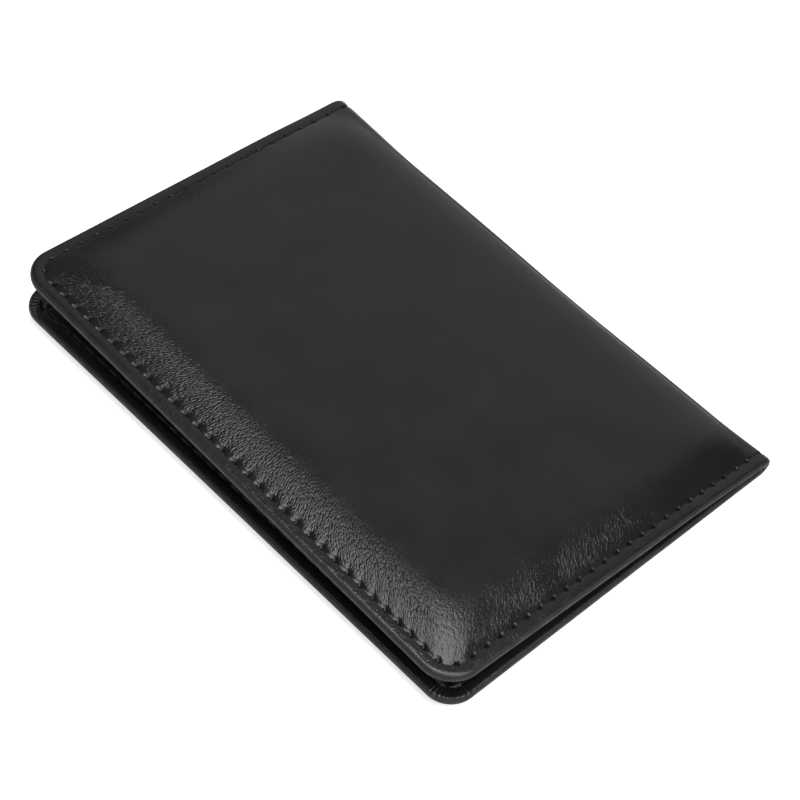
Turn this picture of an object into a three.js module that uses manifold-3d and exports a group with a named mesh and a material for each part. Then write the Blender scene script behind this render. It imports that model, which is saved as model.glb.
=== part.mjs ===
// A travel document cover in padded, turned-edge leather: two like leaves joined by a soft spine fold.
// It lies closed and a little ajar on its back leaf. +Z is up, +X runs from the spine to the fore edge,
// +Y runs from tail to head, and the origin is the middle of the surface that it lies on.

import * as THREE from "three";
import { mergeVertices } from "three/addons/utils/BufferGeometryUtils.js";
import Module from "manifold-3d";

const wasm = await Module();
wasm.setup();

// Driving dimensions: lengths in millimetres, angles in degrees

// The closed cover
const COVER_WIDTH = 96; // spine to fore edge
const COVER_HEIGHT = 140; // tail to head
const CORNER_RADIUS = 7.5; // the two fore corners of a leaf
const GAPE = 4.4; // angle at which the empty cover stays ajar

// Thickness of each sheet, from the outside in
const SKIN = 0.7; // outer leather
const FOAM = 1.4; // padding
const BOARD = 0.6; // stiffener
const LINING = 0.2;
const SLEEVE = 0.4; // pocket for one cover of the document

// Fits between the sheets
const GLUE_LINE = 0.1; // two sheets laid on each other
const FOLD_SLIT = 0.3; // the hems of the two leaves, where they meet in the fold
const BEND_CLEARANCE = 0.5; // a leaf's sheets and the spine's
const SHEET_CLEARANCE = 0.3; // round a sheet that lies inside the turned edge

// Turned edge, padding and pocket
const HEM = 7; // leather turned in over the lining and the sleeve
const PAD_MARGIN = 3.6; // edge of the leaf to the foot of the padding
const PAD_SHOULDER = 11; // foot of the padding to its flat top
const PAD_SPINE_MARGIN = 3.5; // fold to the foot of the padding
const PAD_SPINE_SHOULDER = 9; // foot of the padding to its flat top, beside the fold
const PAD_CORNER = 5; // least corner radius of the padding
const FOAM_RIM = 0.3; // thickness of the foam's skived rim
const SLEEVE_REACH = 60; // fore edge to the mouth of the sleeve
const LEAST_CORNER = 1; // least corner radius of a sheet

// Lockstitch seam, sewn through skin, lining, sleeve and hem
const SEAM_INSET = 3; // edge of the leaf to the seam
const THREAD = 0.4; // thread diameter
const THREAD_CLEARANCE = 0.1; // thread to the walls of its groove
const NEEDLE_PROUD = 0.1; // how far the needle thread stands above the skin

// Facets
const CORNER_STEPS = 6;
const EDGE_STEPS = 4;
const SHOULDER_STEPS = 6;
const BEND_STEPS = 12;
const THREAD_SIDES = 8;

// Heights in a leaf that lies inner side up, from the centre of the spine's bend
const HEM_INNER = -FOLD_SLIT / 2;
const HEM_OUTER = HEM_INNER - SKIN;
const SLEEVE_INNER = HEM_OUTER - GLUE_LINE;
const SLEEVE_OUTER = SLEEVE_INNER - SLEEVE;
const LINING_INNER = SLEEVE_OUTER - GLUE_LINE;
const LINING_OUTER = LINING_INNER - LINING;
const SKIN_INNER = LINING_OUTER - GLUE_LINE;
const SKIN_OUTER = SKIN_INNER - SKIN;
const BOARD_OUTER = SKIN_INNER - BOARD;
const FOAM_INNER = BOARD_OUTER - GLUE_LINE;
const CROWN = BOARD + FOAM + 2 * GLUE_LINE; // rise of the padded face above its flat border
const FACE_OUTER = SKIN_OUTER - CROWN;

// Sizes that follow from the above
const LEAF_WIDTH = COVER_WIDTH + SKIN_OUTER;
const HALF_HEIGHT = COVER_HEIGHT / 2;
const GAPE_ANGLE = THREE.MathUtils.degToRad(GAPE);
const FOLD_ANGLE = Math.PI - GAPE_ANGLE; // turn of the leather round the spine
const SHEET_INSET = SKIN + SHEET_CLEARANCE;
const GROOVE_HALF_WIDTH = THREAD / 2 + THREAD_CLEARANCE;
const NEEDLE_GROOVE = THREAD - NEEDLE_PROUD + THREAD_CLEARANCE;
const BOBBIN_GROOVE = THREAD + THREAD_CLEARANCE;
const OVERCUT = 1; // how far a cutting solid runs past what it cuts

const UP = new THREE.Vector3(0, 0, 1);
const HEADWARD = new THREE.Vector3(0, 1, 0);

// Materials
const LEATHER = new THREE.MeshStandardMaterial({ color: 0x1c1c1e, roughness: 0.5, metalness: 0 });
const FOAM_SHEET = new THREE.MeshStandardMaterial({ color: 0xb9b6ad, roughness: 0.95, metalness: 0 });
const GREY_BOARD = new THREE.MeshStandardMaterial({ color: 0x8a8478, roughness: 0.9, metalness: 0 });
const LINING_CLOTH = new THREE.MeshStandardMaterial({ color: 0x141416, roughness: 0.85, metalness: 0 });
const SEWING_THREAD = new THREE.MeshStandardMaterial({ color: 0x101011, roughness: 0.6, metalness: 0 });

// Triangles that close a flat section, as indices into its points
function capOf(points) {
  const normal = new THREE.Vector3();
  points.forEach((point, i) => normal.add(new THREE.Vector3().crossVectors(point, points.at(i - 1)).negate()));
  const across = new THREE.Vector3().subVectors(points[1], points[0]).normalize();
  const upward = new THREE.Vector3().crossVectors(normal.normalize(), across);
  const flat = points.map((point) => new THREE.Vector2(point.dot(across), point.dot(upward)));
  return THREE.ShapeUtils.triangulateShape(flat, []);
}

// Closed solid through a row of sections, each counter-clockwise about the way that the row runs
function loft(sections) {
  const count = sections[0].length;
  const last = (sections.length - 1) * count;
  const index = [];
  for (let start = 0; start < last; start += count) {
    for (let i = 0; i < count; i++) {
      const here = start + i;
      const next = start + ((i + 1) % count);
      index.push(here, next, next + count, here, next + count, here + count);
    }
  }
  for (const [a, b, c] of capOf(sections[0])) index.push(c, b, a);
  for (const [a, b, c] of capOf(sections.at(-1))) index.push(last + a, last + b, last + c);
  const positions = sections.flat().flatMap((point) => point.toArray());
  const geometry = new THREE.BufferGeometry();
  geometry.setAttribute("position", new THREE.Float32BufferAttribute(positions, 3));
  geometry.setIndex(index);
  return geometry;
}

function solidOf(geometry) {
  const merged = mergeVertices(geometry);
  const vertProperties = merged.attributes.position.array;
  const triVerts = new Uint32Array(merged.index.array);
  return new wasm.Manifold(new wasm.Mesh({ numProp: 3, vertProperties, triVerts }));
}

// First geometry with the others cut out of it
function cut(body, ...tools) {
  const made = tools.reduce((rest, tool) => rest.subtract(solidOf(tool)), solidOf(body)).getMesh();
  const geometry = new THREE.BufferGeometry();
  geometry.setAttribute("position", new THREE.BufferAttribute(made.vertProperties, made.numProp));
  geometry.setIndex(new THREE.BufferAttribute(made.triVerts, 1));
  return geometry;
}

// Outline of a leaf drawn in by inset on its three open edges, ending at spine beside the fold, at height z
function ring(inset, spine, z, leastCorner = LEAST_CORNER) {
  const radius = Math.max(CORNER_RADIUS - inset, leastCorner);
  const centreX = LEAF_WIDTH - inset - radius;
  const half = HALF_HEIGHT - inset;
  const points = [new THREE.Vector3(spine, -half, z)];
  for (const [centreY, from] of [[radius - half, -Math.PI / 2], [half - radius, 0]]) {
    for (let i = 0; i <= CORNER_STEPS; i++) {
      const angle = from + (Math.PI / 2) * (i / CORNER_STEPS);
      const x = centreX + radius * Math.cos(angle);
      points.push(new THREE.Vector3(x, centreY + radius * Math.sin(angle), z));
    }
  }
  points.push(new THREE.Vector3(spine, half, z));
  return points;
}

// Rings over the padded face, a quarter ellipse from its flat top down to a given rise above the border.
// The face is moved inwards by shift, which gives the skin's inner side and the foam under it.
function shoulder(shift, leastRise = 0) {
  const least = Math.asin(leastRise / CROWN);
  return Array.from({ length: SHOULDER_STEPS + 1 }, (_, i) => {
    const angle = Math.PI / 2 + (least - Math.PI / 2) * (i / SHOULDER_STEPS);
    const share = 1 - Math.cos(angle);
    const inset = PAD_MARGIN + shift + PAD_SHOULDER * share;
    const spine = PAD_SPINE_MARGIN + shift + PAD_SPINE_SHOULDER * share;
    return ring(inset, spine, SKIN_OUTER + shift - CROWN * Math.sin(angle), PAD_CORNER);
  });
}

// Half-round section of the turned edge as pairs of inset and height, from the skin to the hem
function turnedEdge() {
  const radius = (HEM_INNER - SKIN_OUTER) / 2;
  return Array.from({ length: EDGE_STEPS + 1 }, (_, i) => {
    const angle = Math.PI * (i / EDGE_STEPS - 0.5);
    return [radius * (1 - Math.cos(angle)), SKIN_OUTER + radius * (1 + Math.sin(angle))];
  });
}

// Flat sheet with the outline of a leaf
function sheet(inset, spine, outer, inner, leastCorner) {
  return loft([ring(inset, spine, outer, leastCorner), ring(inset, spine, inner, leastCorner)]);
}

// Rod of one section, in pairs of side and normal, along a flat route
function rod(route, normal, section) {
  const sections = route.map((point, i) => {
    const along = new THREE.Vector3().subVectors(route[i + 1] ?? point, route[i - 1] ?? point).normalize();
    const side = new THREE.Vector3().crossVectors(normal, along);
    return section.map(([across, upward]) =>
      point.clone().addScaledVector(side, across).addScaledVector(normal, upward),
    );
  });
  return loft(sections);
}

function roundSection() {
  return Array.from({ length: THREAD_SIDES }, (_, i) => {
    const angle = (2 * Math.PI * i) / THREAD_SIDES;
    return [(THREAD / 2) * Math.cos(angle), (THREAD / 2) * Math.sin(angle)];
  });
}

function boxSection(left, right, low, high) {
  return [[left, low], [right, low], [right, high], [left, high]];
}

// Thread along the seam of a leaf, with its axis at height z
function leafThread(z) {
  return rod(ring(SEAM_INSET, BEND_CLEARANCE, z), UP, roundSection());
}

// Groove for that thread, from height low to height high
function leafGroove(low, high) {
  const section = boxSection(-GROOVE_HALF_WIDTH, GROOVE_HALF_WIDTH, low, high);
  return rod(ring(SEAM_INSET, -OVERCUT, 0), UP, section);
}

// Outer leather of one leaf: a padded face, turned over the three open edges and hemmed inside
function leafSkin() {
  const edge = turnedEdge().map(([inset, z]) => ring(inset, BEND_CLEARANCE, z));
  const whole = loft([...shoulder(0), ...edge]);
  const hollow = loft([
    ...shoulder(SKIN),
    ring(SKIN, -OVERCUT, SKIN_INNER),
    ring(SKIN, -OVERCUT, HEM_OUTER),
    ring(HEM, -2 * OVERCUT, HEM_OUTER),
    ring(HEM, -2 * OVERCUT, HEM_INNER + OVERCUT),
  ]);
  const needleGroove = leafGroove(SKIN_OUTER - OVERCUT, SKIN_OUTER + NEEDLE_GROOVE);
  const bobbinGroove = leafGroove(HEM_INNER - BOBBIN_GROOVE, HEM_INNER + OVERCUT);
  return cut(whole, hollow, needleGroove, bobbinGroove);
}

// Padding between skin and board, skived at its rim
function leafFoam() {
  const rings = shoulder(SKIN + GLUE_LINE, BOARD + 2 * GLUE_LINE + FOAM_RIM);
  const rim = rings.at(-1).map((point) => point.clone().setZ(FOAM_INNER));
  return loft([...rings, rim]);
}

// Stiffener under the lining, cut to clear the padded face's shoulder
function leafBoard() {
  const share = 1 - Math.sqrt(1 - (BOARD / CROWN) ** 2);
  const inset = PAD_MARGIN + SKIN + SHEET_CLEARANCE + PAD_SHOULDER * share;
  const spine = PAD_SPINE_MARGIN + SKIN + SHEET_CLEARANCE + PAD_SPINE_SHOULDER * share;
  return sheet(inset, spine, BOARD_OUTER, SKIN_INNER, PAD_CORNER);
}

// Pairs of y and radius carried round the spine's bend, from the back leaf to the front leaf
function bend(profile) {
  const sections = Array.from({ length: BEND_STEPS + 1 }, (_, i) => {
    const angle = FOLD_ANGLE * (i / BEND_STEPS);
    return profile.map(([y, radius]) =>
      new THREE.Vector3(-radius * Math.sin(angle), y, -radius * Math.cos(angle)),
    );
  });
  return loft(sections);
}

// Arc round the bend at a given y and radius, run past both ends by an angle
function bendRoute(y, radius, past = 0) {
  return Array.from({ length: BEND_STEPS + 1 }, (_, i) => {
    const angle = -past + (FOLD_ANGLE + 2 * past) * (i / BEND_STEPS);
    return new THREE.Vector3(-radius * Math.sin(angle), y, -radius * Math.cos(angle));
  });
}

// Outer leather of the spine, turned in and hemmed at head and tail
function spineSkin() {
  const headEnd = [
    [HALF_HEIGHT - SKIN, -SKIN_INNER],
    [HALF_HEIGHT - SKIN, -HEM_OUTER],
    [HALF_HEIGHT - HEM, -HEM_OUTER],
    [HALF_HEIGHT - HEM, -HEM_INNER],
    ...turnedEdge().reverse().map(([inset, z]) => [HALF_HEIGHT - inset, -z]),
  ];
  const tailEnd = headEnd.map(([y, radius]) => [-y, radius]).reverse();
  const grooves = [HALF_HEIGHT - SEAM_INSET, SEAM_INSET - HALF_HEIGHT].flatMap((y) => [
    spineGroove(y, -SKIN_OUTER, -OVERCUT, NEEDLE_GROOVE),
    spineGroove(y, -HEM_INNER, -BOBBIN_GROOVE, -HEM_INNER / 2),
  ]);
  return cut(bend([...headEnd, ...tailEnd]), ...grooves);
}

// Groove across the spine at a given y, from outwards to inwards of a radius
function spineGroove(y, radius, outwards, inwards) {
  const section = boxSection(outwards, inwards, -GROOVE_HALF_WIDTH, GROOVE_HALF_WIDTH);
  return rod(bendRoute(y, radius, GAPE_ANGLE), HEADWARD, section);
}

function spineThread(y, radius) {
  return rod(bendRoute(y, radius), HEADWARD, roundSection());
}

// Lining of the spine, between its skin and its hems
function spineLining() {
  const half = HALF_HEIGHT - SHEET_INSET;
  return bend([[-half, -LINING_INNER], [half, -LINING_INNER], [half, -LINING_OUTER], [-half, -LINING_OUTER]]);
}

function piece(name, geometry, material) {
  const mesh = new THREE.Mesh(geometry, material);
  mesh.name = name;
  return mesh;
}

// One leaf, inner side up, with the centre of the spine's bend at its origin
function leaf(side) {
  const sleeveMouth = LEAF_WIDTH - SLEEVE_REACH;
  const group = new THREE.Group();
  group.add(
    piece(`${side}_skin`, leafSkin(), LEATHER),
    piece(`${side}_foam`, leafFoam(), FOAM_SHEET),
    piece(`${side}_board`, leafBoard(), GREY_BOARD),
    piece(`${side}_lining`, sheet(SHEET_INSET, BEND_CLEARANCE, LINING_OUTER, LINING_INNER), LINING_CLOTH),
    piece(`${side}_sleeve`, sheet(SHEET_INSET, sleeveMouth, SLEEVE_OUTER, SLEEVE_INNER), LEATHER),
    piece(`${side}_needle_thread`, leafThread(SKIN_OUTER - NEEDLE_PROUD + THREAD / 2), SEWING_THREAD),
    piece(`${side}_bobbin_thread`, leafThread(HEM_INNER - THREAD / 2), SEWING_THREAD),
  );
  return group;
}

// The bent strip between the leaves, with the centre of its bend at its origin
function spine() {
  const group = new THREE.Group();
  group.add(
    piece("spine_skin", spineSkin(), LEATHER),
    piece("spine_lining", spineLining(), LINING_CLOTH),
  );
  for (const [end, y] of [["head", HALF_HEIGHT - SEAM_INSET], ["tail", SEAM_INSET - HALF_HEIGHT]]) {
    const needleRadius = NEEDLE_PROUD - SKIN_OUTER - THREAD / 2;
    const bobbinRadius = THREAD / 2 - HEM_INNER;
    group.add(
      piece(`spine_needle_thread_${end}`, spineThread(y, needleRadius), SEWING_THREAD),
      piece(`spine_bobbin_thread_${end}`, spineThread(y, bobbinRadius), SEWING_THREAD),
    );
  }
  return group;
}

const backLeaf = leaf("back");
const spineFold = spine();
const frontLeaf = leaf("front");

// The front leaf is a leaf turned over about the spine's bend and raised by the gape
frontLeaf.rotation.set(Math.PI, -GAPE_ANGLE, 0, "YXZ");

const cover = new THREE.Group();
cover.name = "travel_document_cover";
cover.add(backLeaf, spineFold, frontLeaf);
for (const part of cover.children) part.position.set(-COVER_WIDTH / 2 - SKIN_OUTER, 0, -FACE_OUTER);

export default cover;
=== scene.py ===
"""Looks of a padded travel document cover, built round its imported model.

The cover is two like leaves and the fold between them. A point of a leaf is given by s, how far it is from
the fold across the leaf, y, how far it is towards the head, and n, how far it is out from the fold's middle
plane, in millimetres. Where s is below nought the point lies on the leaf's half of the fold.
"""

import math

import bpy
import numpy as np
from bpy.props import FloatProperty, FloatVectorProperty, IntProperty, PointerProperty
from mathutils import Matrix, Vector


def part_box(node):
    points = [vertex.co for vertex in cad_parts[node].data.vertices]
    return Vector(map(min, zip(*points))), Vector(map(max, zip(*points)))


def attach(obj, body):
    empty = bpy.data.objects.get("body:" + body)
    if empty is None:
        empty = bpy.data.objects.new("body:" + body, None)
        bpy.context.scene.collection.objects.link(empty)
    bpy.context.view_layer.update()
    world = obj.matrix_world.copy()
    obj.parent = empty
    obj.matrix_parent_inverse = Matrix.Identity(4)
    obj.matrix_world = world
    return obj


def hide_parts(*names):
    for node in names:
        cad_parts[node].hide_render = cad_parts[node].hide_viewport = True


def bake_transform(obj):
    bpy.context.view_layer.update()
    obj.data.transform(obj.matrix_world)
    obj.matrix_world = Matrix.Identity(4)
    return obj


bl_info = {
    "name": "Travel document cover",
    "version": (1, 0, 0),
    "blender": (4, 5, 0),
    "location": "View3D > Sidebar > Document Cover",
    "description": "Dresses a packed document cover in leather, lining, sleeves and stitches",
    "category": "Object",
}

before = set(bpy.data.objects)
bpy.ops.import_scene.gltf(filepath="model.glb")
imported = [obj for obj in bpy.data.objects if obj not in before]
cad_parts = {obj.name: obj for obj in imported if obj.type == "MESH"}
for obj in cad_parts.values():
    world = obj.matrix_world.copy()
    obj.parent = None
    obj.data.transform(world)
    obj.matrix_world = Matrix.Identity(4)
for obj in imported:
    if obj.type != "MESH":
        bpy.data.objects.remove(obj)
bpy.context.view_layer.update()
BACK_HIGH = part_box("back_skin")[1]
SPINE_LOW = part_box("spine_skin")[0]

MM = 0.001
WELD = 2e-7  # metres within which two points are one
UV_STEP = 10.0  # millimetres of leather in one unit of a UV map

# Levels of the sheets in a leaf, as distances out from the middle plane of the fold
HEM_FACE = 0.15
HEM_LOW = 0.5
FOLD_HEM = 0.75
SLEEVE_FACE = 0.95
HEM_UNDER = 1.4
LINING_FACE = 1.45
BASE_FACE = 1.75
BOARD_BACK = 2.35
BORDER_FACE = 2.45

# Other measures of the sheets in millimetres
LEATHER = 0.7  # thickness of the outer leather
EDGE_ROUND = 1.15  # how far the turned edge reaches in from the outline
LIP = 0.12  # roundness of the hem's cut end
BAND = 18.0  # width of the leather's band of close rows along the outline
SHEET_INSET = 1.0  # how far linings and sleeves stay inside the outline

SIDES = ("back", "front")


class CoverSizes(bpy.types.PropertyGroup):
    """Sizes of the cover that a user would change"""

    front_corner: FloatProperty(
        name="Front corner", description="Radius of the front leaf's two fore corners",
        default=0.0079, min=0.006, max=0.02, unit="LENGTH",
    )
    back_corner: FloatProperty(
        name="Back corner", description="Radius of the back leaf's two fore corners, which lie pressed out",
        default=0.0065, min=0.006, max=0.02, unit="LENGTH",
    )
    pad_corner: FloatProperty(
        name="Pad corner", description="Radius of the padding's fore corners, well inside the seam",
        default=0.007, min=0.003, max=0.02, unit="LENGTH",
    )
    gape: FloatProperty(
        name="Gape", description="Angle at which the empty cover stays ajar",
        default=math.radians(4.38), min=0.0, max=0.2, subtype="ANGLE",
    )
    crown: FloatProperty(
        name="Crown", description="Rise of the padded face above its flat border",
        default=0.0022, min=0.0005, max=0.004, unit="LENGTH",
    )
    shoulder: FloatProperty(
        name="Shoulder", description="Width of the padding's round shoulder beside the seam",
        default=0.0125, min=0.004, max=0.016, unit="LENGTH",
    )
    fold_shoulder: FloatProperty(
        name="Fold shoulder", description="Width of the padding's shoulder beside the fold",
        default=0.011, min=0.004, max=0.02, unit="LENGTH",
    )
    hem: FloatProperty(
        name="Hem", description="Width of the leather turned in over the lining",
        default=0.007, min=0.006, max=0.012, unit="LENGTH",
    )
    seam: FloatProperty(
        name="Seam", description="Distance from the edge to the seam",
        default=0.003, min=0.002, max=0.006, unit="LENGTH",
    )
    stitches: IntProperty(
        name="Stitches", description="Stitches round one leaf, from the middle of the fold and back to it",
        default=79, min=20, max=120,
    )
    feed: FloatProperty(
        name="Feed", description="How much closer the stitches get from the tail to the head",
        default=0.11, min=0.01, max=0.3,
    )
    thread: FloatProperty(
        name="Thread", description="Diameter of the sewing thread",
        default=0.0004, min=0.0002, max=0.001, unit="LENGTH",
    )
    sleeve_reach: FloatProperty(
        name="Sleeve reach", description="Distance from the fore edge to the mouth of a sleeve",
        default=0.06, min=0.03, max=0.085, unit="LENGTH",
    )
    pleats: IntProperty(
        name="Pleats", description="Pleats of the hem in each fore corner",
        default=11, min=3, max=16,
    )
    twist: FloatProperty(
        name="Twist", description="How far the front leaf's tail corner is raised as it lies",
        default=0.00158, min=-0.003, max=0.003, unit="LENGTH",
    )


class CoverFinish(bpy.types.PropertyGroup):
    """Colours and gloss of the cover's materials"""

    leather: FloatVectorProperty(
        name="Leather", description="Colour of the outer leather",
        default=(0.0076, 0.0076, 0.0084), size=3, min=0.0, max=1.0, subtype="COLOR",
    )
    gloss: FloatProperty(
        name="Leather roughness", description="Roughness of the outer leather's finish",
        default=0.2, min=0.1, max=0.9, subtype="FACTOR",
    )
    rubbed: FloatVectorProperty(
        name="Rubbed edge", description="Colour of the leather where its turned edge is rubbed",
        default=(0.0115, 0.0096, 0.009), size=3, min=0.0, max=1.0, subtype="COLOR",
    )
    sleeve: FloatVectorProperty(
        name="Sleeve", description="Colour of the sleeves",
        default=(0.016, 0.016, 0.017), size=3, min=0.0, max=1.0, subtype="COLOR",
    )
    lining: FloatVectorProperty(
        name="Lining", description="Colour of the woven lining",
        default=(0.02, 0.02, 0.022), size=3, min=0.0, max=1.0, subtype="COLOR",
    )
    thread: FloatVectorProperty(
        name="Thread", description="Colour of the sewing thread",
        default=(0.008, 0.008, 0.009), size=3, min=0.0, max=1.0, subtype="COLOR",
    )
    board: FloatVectorProperty(
        name="Board", description="Colour of the stiffener board",
        default=(0.36, 0.32, 0.26), size=3, min=0.0, max=1.0, subtype="COLOR",
    )
    floor: FloatVectorProperty(
        name="Floor", description="Colour of the floor",
        default=(0.82, 0.82, 0.82), size=3, min=0.0, max=1.0, subtype="COLOR",
    )


class CoverView(bpy.types.PropertyGroup):
    """Place of the camera, solved from the edges of the cover in the photograph"""

    azimuth: FloatProperty(
        name="Azimuth", description="Turn of the camera round the cover",
        default=math.radians(132.156), subtype="ANGLE",
    )
    elevation: FloatProperty(
        name="Elevation", description="Height of the camera above the horizon",
        default=math.radians(51.743), subtype="ANGLE",
    )
    roll: FloatProperty(
        name="Roll", description="Turn of the picture about the line of sight",
        default=math.radians(6.357), subtype="ANGLE",
    )
    distance: FloatProperty(
        name="Distance", description="Distance from the camera to the point that it looks at",
        default=0.58066, min=0.1, unit="LENGTH",
    )
    target: FloatVectorProperty(
        name="Target", description="Point that the camera looks at",
        default=(0.00190, 0.00577, 0.005), size=3, subtype="XYZ", unit="LENGTH",
    )
    lens: FloatProperty(
        name="Lens", description="Focal length on a sensor 36 mm wide",
        default=119.83, min=10.0, unit="CAMERA",
    )


# Shape of a leaf


def ease(x):
    """Smooth step from nought to one as x goes from nought to one."""
    x = np.clip(x, 0.0, 1.0)
    return x * x * (3.0 - 2.0 * x)


def bell(x, width):
    """Bell curve of x: the exponential of minus the square of x over its width."""
    return np.exp(-((x / width) ** 2))


def drift(x, wave, seed):
    """Slow, even wander between about minus one and one: four sines of x with lengths round wave."""
    chance = np.random.default_rng(seed)
    lengths = wave * chance.uniform(0.5, 1.6, 4)
    phases = chance.uniform(0.0, 2.0 * math.pi, 4)
    waves = np.sin(2.0 * math.pi * np.asarray(x)[..., None] / lengths + phases)
    return waves.sum(axis=-1) / 2.2


class Leaf:
    """One leaf's measures in millimetres, and the ways from its coordinates to the cover's frame."""

    def __init__(self, side, sizes):
        self.side = side
        for label in ("pad_corner", "crown", "shoulder", "fold_shoulder", "hem", "seam", "thread", "twist"):
            setattr(self, label, getattr(sizes, label) / MM)
        for label in ("gape", "pleats", "stitches", "feed"):
            setattr(self, label, getattr(sizes, label))
        self.corner = getattr(sizes, f"{side}_corner") / MM
        self.fold_x = SPINE_LOW.x / MM + BORDER_FACE
        self.fold_z = BORDER_FACE + self.crown
        self.width = BACK_HIGH.x / MM - self.fold_x
        self.half = BACK_HIGH.y / MM
        self.mouth = self.width - sizes.sleeve_reach / MM

        # The leaf's half of the fold, measured along the leather's middle layer
        self.half_fold = (math.pi - self.gape) / 2.0
        self.bend = (BORDER_FACE - LEATHER / 2.0) * self.half_fold

        # Stretches of the seam: two sides, two corners and the fore edge, and then the ends of the fold too
        self.seam_corner = self.corner - self.seam
        self.side_run = self.width - self.corner
        self.corner_run = self.seam_corner * math.pi / 2.0
        self.fore_run = 2.0 * (self.half - self.corner)
        self.run = 2.0 * (self.side_run + self.corner_run) + self.fore_run
        self.seam_run = self.run + 2.0 * self.bend

        # Middles of the stitches, where the count of stitch_phase is a whole number and a half
        self.pitch = self.seam_run / self.stitches
        share = (np.arange(self.stitches) + 0.5) / self.stitches
        root = np.sqrt((1.0 - self.feed) ** 2 + 4.0 * self.feed * share)
        self.middles = self.seam_run * (root - (1.0 - self.feed)) / (2.0 * self.feed)

    def settle(self, s, y, n):
        """Lie of the front leaf: it twists about its middle as it goes to the fore edge, so the tail rises.
        Beside the fold it sags halfway along and is pressed down at both ends. The back leaf lies flat."""
        if self.side == "back":
            return s, y, n
        fall, sag, slide = 0.83, 0.60, 0.67
        tail_press, head_press, press_start, press_run = 0.45, 0.72, 54.0, 14.0
        share = s / self.width
        along = y / self.half
        lift = -fall * share - self.twist * along * share
        dip = sag * (1.0 - along ** 2) * (1.0 - ease(s / 30.0))
        at_tail = ease((-y - press_start) / press_run)
        at_head = ease((y - press_start) / press_run)
        sink = dip + (tail_press * at_tail + head_press * at_head) * (1.0 - ease(s / 24.0))
        return s + (0.09 + 0.45 * along) * share, y - slide * share, n + lift - sink

    def fold_spread(self, y, n):
        """How far the fold stands out, as a share of a round bend: more at its ends, which are pressed flat,
        and less halfway along, where it is drawn in. The hem takes no part in what the ends stand out."""
        tail_out, head_out, drawn_in = 0.52, 0.38, 0.24
        tail = ease((-y - 42.0) / 28.0)
        head = ease((y - 54.0) / 16.0)
        middle = bell(y - 12.0, 22.0)
        part = np.clip((n - FOLD_HEM) / (BORDER_FACE - FOLD_HEM), 0.0, 1.0)
        return 1.0 + part * (tail_out * tail + head_out * head) - drawn_in * middle

    def place(self, s, y, n):
        """Point of the leaf in the cover's frame, in metres: round the fold where s is below nought, then
        settled, then laid down for the back leaf or turned up by the gape for the front leaf."""
        s, y, n = np.broadcast_arrays(s, y, n)
        turn = np.clip(-s / self.bend, 0.0, 1.0) * self.half_fold
        flat_s, flat_y, flat_n = self.settle(np.maximum(s, 0.0), y, n)
        across = np.where(s < 0.0, -n * np.sin(turn) * self.fold_spread(y, n), flat_s)
        dip = flat_n - n
        out = np.where(s < 0.0, n * np.cos(turn) + dip * np.cos(turn) ** 2, flat_n)
        if self.side == "back":
            x = self.fold_x + across
            z = self.fold_z - out
        else:
            x = self.fold_x + across * math.cos(self.gape) - out * math.sin(self.gape)
            z = self.fold_z + across * math.sin(self.gape) + out * math.cos(self.gape)
        return np.stack([x, np.where(s < 0.0, y, flat_y), z], axis=-1) * MM

    def ring(self, inset, run, padded):
        """Outline of the leaf drawn in by inset, at a distance run along the seam from the fold at the tail:
        a straight side, a round corner, the fore edge, and the same back to the head. On the padded face the
        corner widens again inside the seam, and elsewhere it stays at least a little round."""
        least_round, widens_over = 1.5, 8.0
        inset, run = np.broadcast_arrays(np.asarray(inset, float), np.asarray(run, float))
        radius = np.maximum(self.corner - inset, least_round)
        if padded:
            share = ease((inset - self.seam) / widens_over)
            wider = self.seam_corner + (self.pad_corner - self.seam_corner) * share
            radius = np.where(inset > self.seam, wider, radius)
        centre_s = self.width - inset - radius
        centre_y = self.half - inset - radius
        to_middle = np.minimum(run, self.run - run)
        head = np.where(run > self.run / 2.0, 1.0, -1.0)
        side = np.clip(to_middle / self.side_run, 0.0, 1.0)
        turn = np.clip((to_middle - self.side_run) / self.corner_run, 0.0, 1.0) * math.pi / 2.0
        fore = np.clip((to_middle - self.side_run - self.corner_run) / (self.fore_run / 2.0), 0.0, 1.0)
        s = centre_s * side + radius * np.sin(turn)
        y = centre_y * (1.0 - fore) + radius * np.cos(turn)
        return s, head * y

    def corner_share(self, run):
        """Share of the way round a fore corner, below nought or above one outside the corners."""
        to_middle = np.minimum(run, self.run - run)
        return (to_middle - self.side_run) / self.corner_run

    def stitch_phase(self, along):
        """Number of the stitch at a distance along the seam from the middle of the fold, and the distance
        from that stitch's middle. The count grows with the share of the seam u as u + feed (u u - u), which
        is the seam of a hand-fed machine."""
        u = along / self.seam_run
        count = self.stitches * (u + self.feed * (u * u - u))
        number = np.clip(np.floor(count), 0, self.stitches - 1).astype(int)
        return number, along - self.middles[number]

    def columns(self):
        """Places of the columns along the seam: thirteen to each stitch, closer at its middle, and many round
        each fore corner. The second array is the leaf's half of the fold at the tail, closer at the cut."""
        steps = np.array([-1.55, -1.05, -0.76, -0.54, -0.34, -0.15, 0.0, 0.15, 0.34, 0.54, 0.76, 1.05, 1.55])
        clear, corner_clear = 0.15, 0.03
        corner_columns, fold_columns = 73, 18
        run = ((self.middles - self.bend)[:, None] + steps).ravel()
        share = self.corner_share(run)
        beside_corner = (share < -corner_clear) | (share > 1.0 + corner_clear)
        run = run[(run > clear) & (run < self.run - clear) & beside_corner]
        first = self.side_run + np.linspace(0.0, self.corner_run, corner_columns)
        run = np.concatenate([[0.0, self.run], run, first, self.run - first])
        run = np.unique(np.round(run, 6))
        turn = 1.0 - np.cos(np.linspace(0.0, math.pi / 2.0, fold_columns))
        tail = -self.bend * (1.0 - turn[:-1])
        return run, tail

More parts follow.
